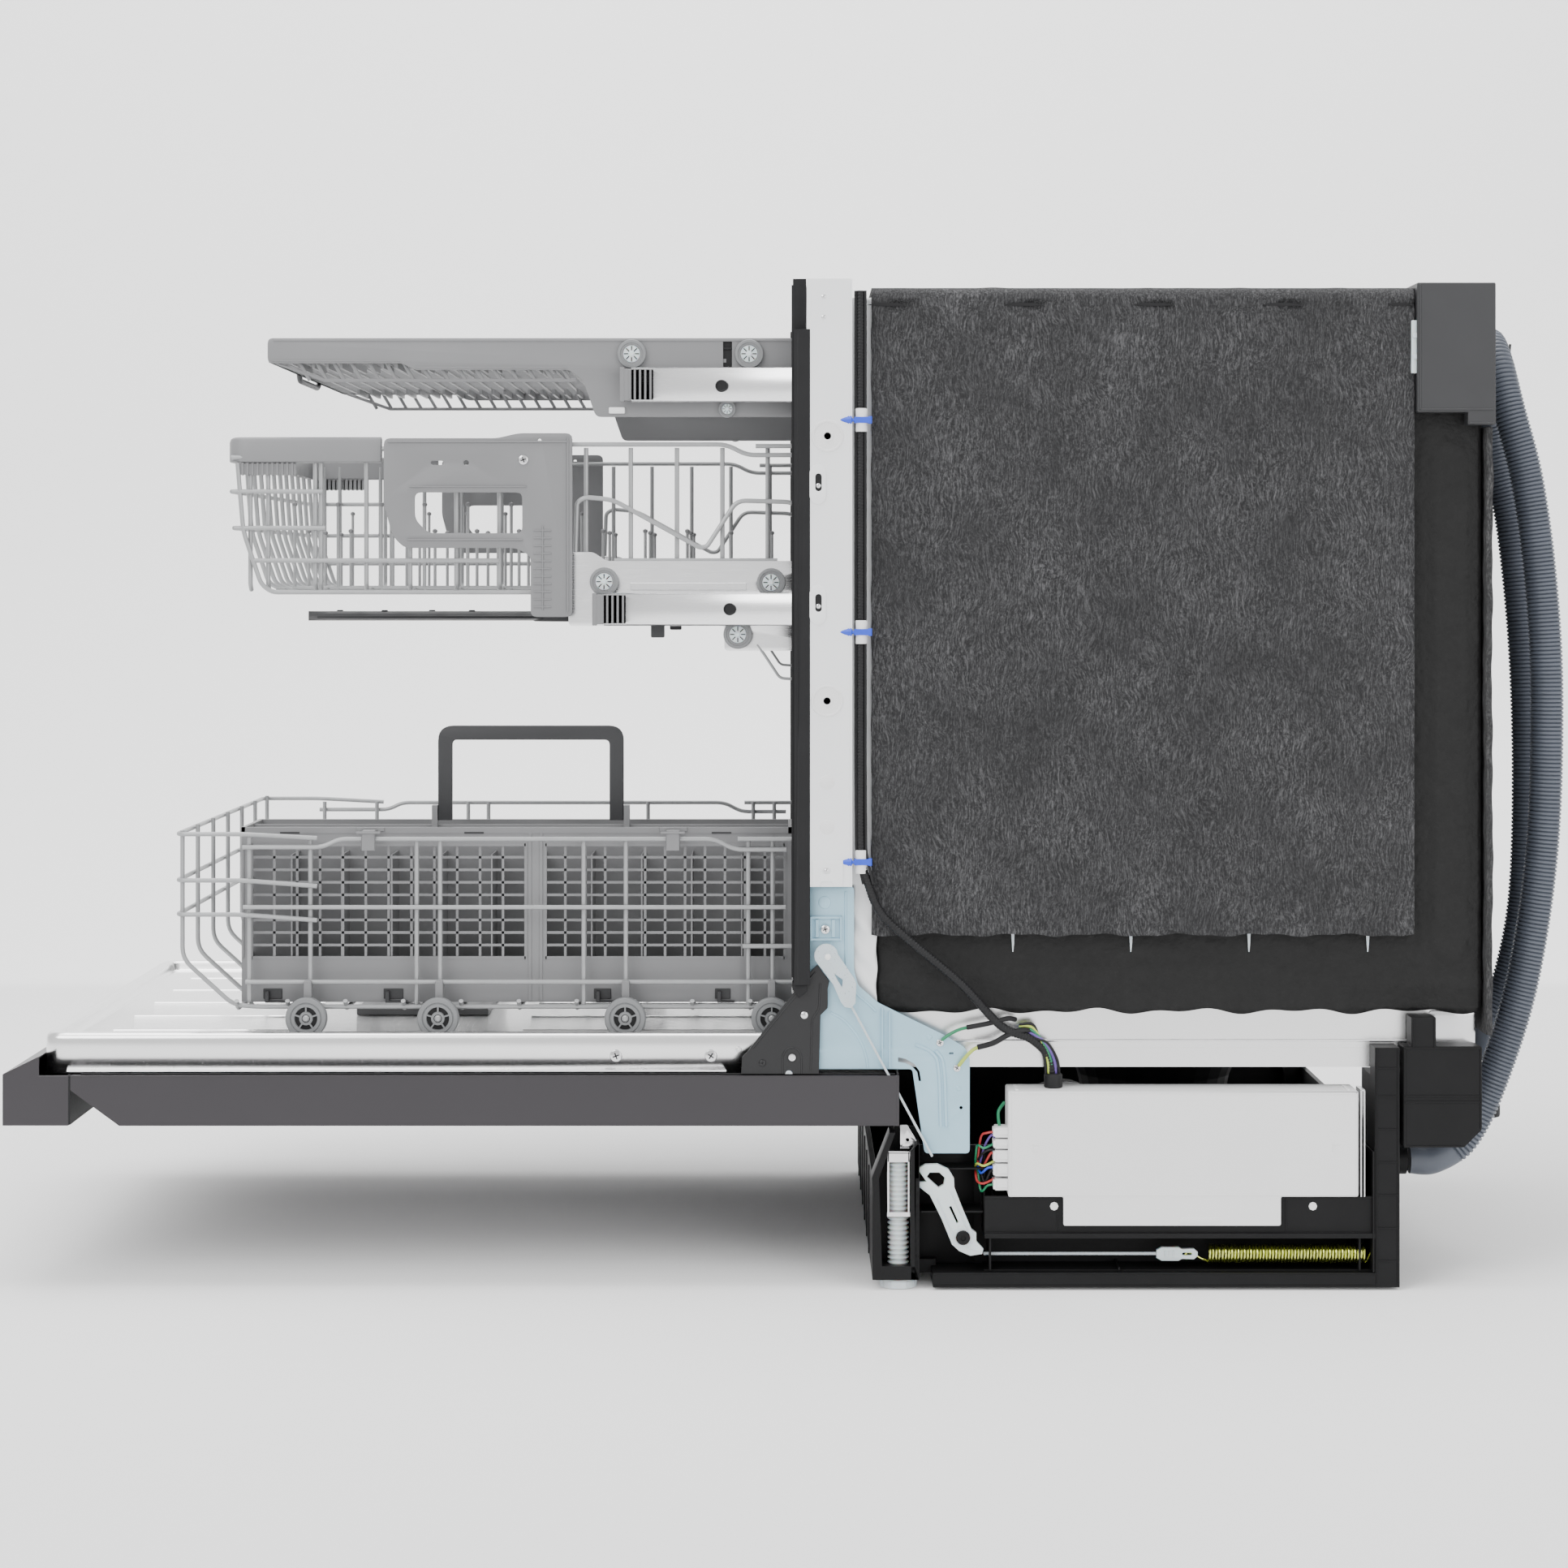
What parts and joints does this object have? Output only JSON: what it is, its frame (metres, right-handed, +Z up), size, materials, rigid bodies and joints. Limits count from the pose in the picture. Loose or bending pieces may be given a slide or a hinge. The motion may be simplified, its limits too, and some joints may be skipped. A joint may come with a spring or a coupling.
{
  "type": "built in dishwasher",
  "caption": "Built-in dishwasher, door lying open and three racks drawn out: steel tub in felt, hinged door with balance springs, rolling racks, spray arms, base with pumps and drain hose.",
  "frame": {"origin": "on the floor, under the middle of the machine's box without the drain hose, door open", "axes": "+Z up, +X to the machine's left as seen from its front (the near side of the usual side view), +Y from the open door to the machine's back"},
  "size_m": [0.603, 1.3473, 0.861],
  "materials": {
    "stainless": "brushed",
    "dark_steel": "satin",
    "zinc": "satin",
    "frame_grey": "satin",
    "black_plastic": "moulded",
    "black_rubber": "matt",
    "bitumen": "rough",
    "felt": "fibrous felt",
    "grey_plastic": "moulded",
    "light_plastic": "fine texture",
    "nylon": "moulded",
    "coated_wire": "nylon coated",
    "hose": "corrugated",
    "spring_steel": "yellow zinc",
    "dark_plastic": "moulded"
  },
  "bodies": {
    "chassis": {"tub": "stainless", "damping_shell": "bitumen", "insulation_blanket": "felt", "rear_felt": "felt", "top_rear_bracket": "dark_plastic", "front_frame": "frame_grey", "door_gasket": "black_rubber", "base_frame": "black_plastic", "inlet_tank": "black_plastic", "control_box": "light_plastic", "sump": "black_plastic", "circulation_pump": "black_plastic", "drain_pump": "black_plastic", "hinge_plate_right": "zinc", "hinge_plate_left": "zinc", "balance_spring_right": "spring_steel", "balance_spring_left": "spring_steel", "wire_harness": "black_rubber", "drain_hose": "hose", "drain_hose_end": "black_rubber"},
    "door": {"door_panel": "dark_steel", "control_panel": "dark_steel", "door_liner": "stainless", "dispenser_housing": "grey_plastic", "hinge_arm_right": "dark_steel", "hinge_arm_left": "dark_steel"},
    "dispenser_lid": {"dispenser_lid": "grey_plastic"},
    "power_button": {"power_button": "black_plastic"},
    "filter": {"filter_cup": "grey_plastic"},
    "lower_spray_arm": {"lower_spray_arm": "grey_plastic"},
    "lower_rack": {"lower_rack": "coated_wire", "cutlery_basket": "grey_plastic"},
    "basket_handle": {"basket_handle": "dark_plastic"},
    "middle_rails": {"middle_rail_right": "stainless", "middle_rail_left": "stainless"},
    "middle_rack": {"middle_rack": "coated_wire", "middle_bracket_right": "grey_plastic", "middle_bracket_left": "grey_plastic"},
    "middle_spray_arm": {"middle_spray_arm": "dark_plastic"},
    "third_rails": {"third_rail_right": "stainless", "third_rail_left": "stainless"},
    "third_rack": {"third_rack": "grey_plastic"},
    "wheel_right_1": {"wheel_right_1": "grey_plastic"},
    "wheel_right_2": {"wheel_right_2": "grey_plastic"},
    "wheel_right_3": {"wheel_right_3": "grey_plastic"},
    "wheel_right_4": {"wheel_right_4": "grey_plastic"},
    "wheel_left_1": {"wheel_left_1": "grey_plastic"},
    "wheel_left_2": {"wheel_left_2": "grey_plastic"},
    "wheel_left_3": {"wheel_left_3": "grey_plastic"},
    "wheel_left_4": {"wheel_left_4": "grey_plastic"},
    "front_foot_right": {"front_foot_right": "nylon"},
    "rear_foot_right": {"rear_foot_right": "nylon"},
    "front_foot_left": {"front_foot_left": "nylon"},
    "rear_foot_left": {"rear_foot_left": "nylon"},
    "balance_link_right": {"balance_link_right": "nylon"},
    "cord_guide_right": {"cord_guide_right": "nylon"},
    "balance_cord_right": {"balance_cord_right": "nylon"},
    "balance_link_left": {"balance_link_left": "nylon"},
    "cord_guide_left": {"cord_guide_left": "nylon"},
    "balance_cord_left": {"balance_cord_left": "nylon"}
  },
  "joints": [
    {"name": "door_hinge", "type": "hinge", "parent": "chassis", "child": "door", "pos_m": [0, 0.0362, 0.1973], "axis": [1, 0, 0], "range_deg": [-12, 0]},
    {"name": "dispenser_lid_slide", "type": "slide", "parent": "door", "child": "dispenser_lid", "axis": [-1, 0, 0], "range_m": [0, 0.045]},
    {"name": "power_button_press", "type": "slide", "parent": "door", "child": "power_button", "axis": [0, 1, 0], "range_m": [0, 0.0015], "stiffness_N_per_m": 250},
    {"name": "lower_rack_slide", "type": "slide", "parent": "door", "child": "lower_rack", "axis": [0, 1, 0], "range_m": [0, 0.56]},
    {"name": "basket_handle_fold", "type": "hinge", "parent": "lower_rack", "child": "basket_handle", "pos_m": [0.1825, -0.1943, 0.399], "axis": [0, 1, 0], "range_deg": [-80, 0]},
    {"name": "wheel_right_1_roll", "type": "hinge", "parent": "lower_rack", "child": "wheel_right_1", "pos_m": [0.26175, -0.382, 0.2265], "axis": [1, 0, 0], "range_deg": [-1815, 10]},
    {"name": "wheel_right_2_roll", "type": "hinge", "parent": "lower_rack", "child": "wheel_right_2", "pos_m": [0.26175, -0.2685, 0.2265], "axis": [1, 0, 0], "range_deg": [-1815, 10]},
    {"name": "wheel_right_3_roll", "type": "hinge", "parent": "lower_rack", "child": "wheel_right_3", "pos_m": [0.26175, -0.1074, 0.2265], "axis": [1, 0, 0], "range_deg": [-1815, 10]},
    {"name": "wheel_right_4_roll", "type": "hinge", "parent": "lower_rack", "child": "wheel_right_4", "pos_m": [0.26175, 0.0188, 0.2265], "axis": [1, 0, 0], "range_deg": [-1815, 10]},
    {"name": "wheel_left_1_roll", "type": "hinge", "parent": "lower_rack", "child": "wheel_left_1", "pos_m": [-0.26175, -0.382, 0.2265], "axis": [1, 0, 0], "range_deg": [-1815, 10]},
    {"name": "wheel_left_2_roll", "type": "hinge", "parent": "lower_rack", "child": "wheel_left_2", "pos_m": [-0.26175, -0.2685, 0.2265], "axis": [1, 0, 0], "range_deg": [-1815, 10]},
    {"name": "wheel_left_3_roll", "type": "hinge", "parent": "lower_rack", "child": "wheel_left_3", "pos_m": [-0.26175, -0.1074, 0.2265], "axis": [1, 0, 0], "range_deg": [-1815, 10]},
    {"name": "wheel_left_4_roll", "type": "hinge", "parent": "lower_rack", "child": "wheel_left_4", "pos_m": [-0.26175, 0.0188, 0.2265], "axis": [1, 0, 0], "range_deg": [-1815, 10]},
    {"name": "middle_rack_slide", "type": "slide", "parent": "chassis", "child": "middle_rack", "axis": [0, 1, 0], "range_m": [0, 0.515]},
    {"name": "middle_rail_slide", "type": "slide", "parent": "chassis", "child": "middle_rails", "axis": [0, 1, 0], "range_m": [0, 0.2575]},
    {"name": "middle_spray_arm_spin", "type": "hinge", "parent": "middle_rack", "child": "middle_spray_arm", "pos_m": [0, -0.176, 0.57], "axis": [0, 0, 1], "continuous": true},
    {"name": "third_rack_slide", "type": "slide", "parent": "chassis", "child": "third_rack", "axis": [0, 1, 0], "range_m": [0, 0.48]},
    {"name": "third_rail_slide", "type": "slide", "parent": "chassis", "child": "third_rails", "axis": [0, 1, 0], "range_m": [0, 0.24]},
    {"name": "lower_spray_arm_spin", "type": "hinge", "parent": "chassis", "child": "lower_spray_arm", "pos_m": [0, 0.338, 0.217], "axis": [0, 0, 1], "continuous": true},
    {"name": "filter_turn", "type": "hinge", "parent": "chassis", "child": "filter", "pos_m": [0.06, 0.384, 0.16], "axis": [0, 0, 1], "range_deg": [0, 90]},
    {"name": "front_foot_right_turn", "type": "hinge", "parent": "chassis", "child": "front_foot_right", "pos_m": [0.281, 0.127, 0.03], "axis": [0, 0, 1], "continuous": true},
    {"name": "rear_foot_right_turn", "type": "hinge", "parent": "chassis", "child": "rear_foot_right", "pos_m": [0.225, 0.5, 0.03], "axis": [0, 0, 1], "continuous": true},
    {"name": "front_foot_left_turn", "type": "hinge", "parent": "chassis", "child": "front_foot_left", "pos_m": [-0.281, 0.127, 0.03], "axis": [0, 0, 1], "continuous": true},
    {"name": "rear_foot_left_turn", "type": "hinge", "parent": "chassis", "child": "rear_foot_left", "pos_m": [-0.225, 0.5, 0.03], "axis": [0, 0, 1], "continuous": true},
    {"name": "balance_link_swing_right", "type": "hinge", "parent": "door", "child": "balance_link_right", "pos_m": [0.298, 0.0652, 0.2843], "axis": [1, 0, 0], "range_deg": [-1, 8]},
    {"name": "cord_guide_swing_right", "type": "hinge", "parent": "chassis", "child": "cord_guide_right", "pos_m": [0.29, 0.1818, 0.0435], "axis": [1, 0, 0], "range_deg": [-6, 1]},
    {"name": "balance_cord_pull_right", "type": "slide", "parent": "chassis", "child": "balance_cord_right", "axis": [0, 1, 0], "range_m": [-0.001, 0.017], "deforming": ["balance_spring_right"]},
    {"name": "balance_link_swing_left", "type": "hinge", "parent": "door", "child": "balance_link_left", "pos_m": [-0.298, 0.0652, 0.2843], "axis": [1, 0, 0], "range_deg": [-1, 8]},
    {"name": "cord_guide_swing_left", "type": "hinge", "parent": "chassis", "child": "cord_guide_left", "pos_m": [-0.29, 0.1818, 0.0435], "axis": [1, 0, 0], "range_deg": [-6, 1]},
    {"name": "balance_cord_pull_left", "type": "slide", "parent": "chassis", "child": "balance_cord_left", "axis": [0, 1, 0], "range_m": [-0.001, 0.017], "deforming": ["balance_spring_left"]}
  ],
  "couplings": [
    {"joint": "wheel_right_1_roll", "follows": "lower_rack_slide", "rad_per_m": -56.18},
    {"joint": "wheel_right_2_roll", "follows": "lower_rack_slide", "rad_per_m": -56.18},
    {"joint": "wheel_right_3_roll", "follows": "lower_rack_slide", "rad_per_m": -56.18},
    {"joint": "wheel_right_4_roll", "follows": "lower_rack_slide", "rad_per_m": -56.18},
    {"joint": "wheel_left_1_roll", "follows": "lower_rack_slide", "rad_per_m": -56.18},
    {"joint": "wheel_left_2_roll", "follows": "lower_rack_slide", "rad_per_m": -56.18},
    {"joint": "wheel_left_3_roll", "follows": "lower_rack_slide", "rad_per_m": -56.18},
    {"joint": "wheel_left_4_roll", "follows": "lower_rack_slide", "rad_per_m": -56.18},
    {"joint": "middle_rail_slide", "follows": "middle_rack_slide", "ratio": 0.5},
    {"joint": "third_rail_slide", "follows": "third_rack_slide", "ratio": 0.5},
    {"joint": "balance_link_swing_right", "follows": "door_hinge", "ratio": -0.6},
    {"joint": "cord_guide_swing_right", "follows": "door_hinge", "ratio": 0.4},
    {"joint": "balance_cord_pull_right", "follows": "door_hinge", "m_per_rad": -0.0735},
    {"joint": "balance_link_swing_left", "follows": "door_hinge", "ratio": -0.6},
    {"joint": "cord_guide_swing_left", "follows": "door_hinge", "ratio": 0.4},
    {"joint": "balance_cord_pull_left", "follows": "door_hinge", "m_per_rad": -0.0735}
  ]
}
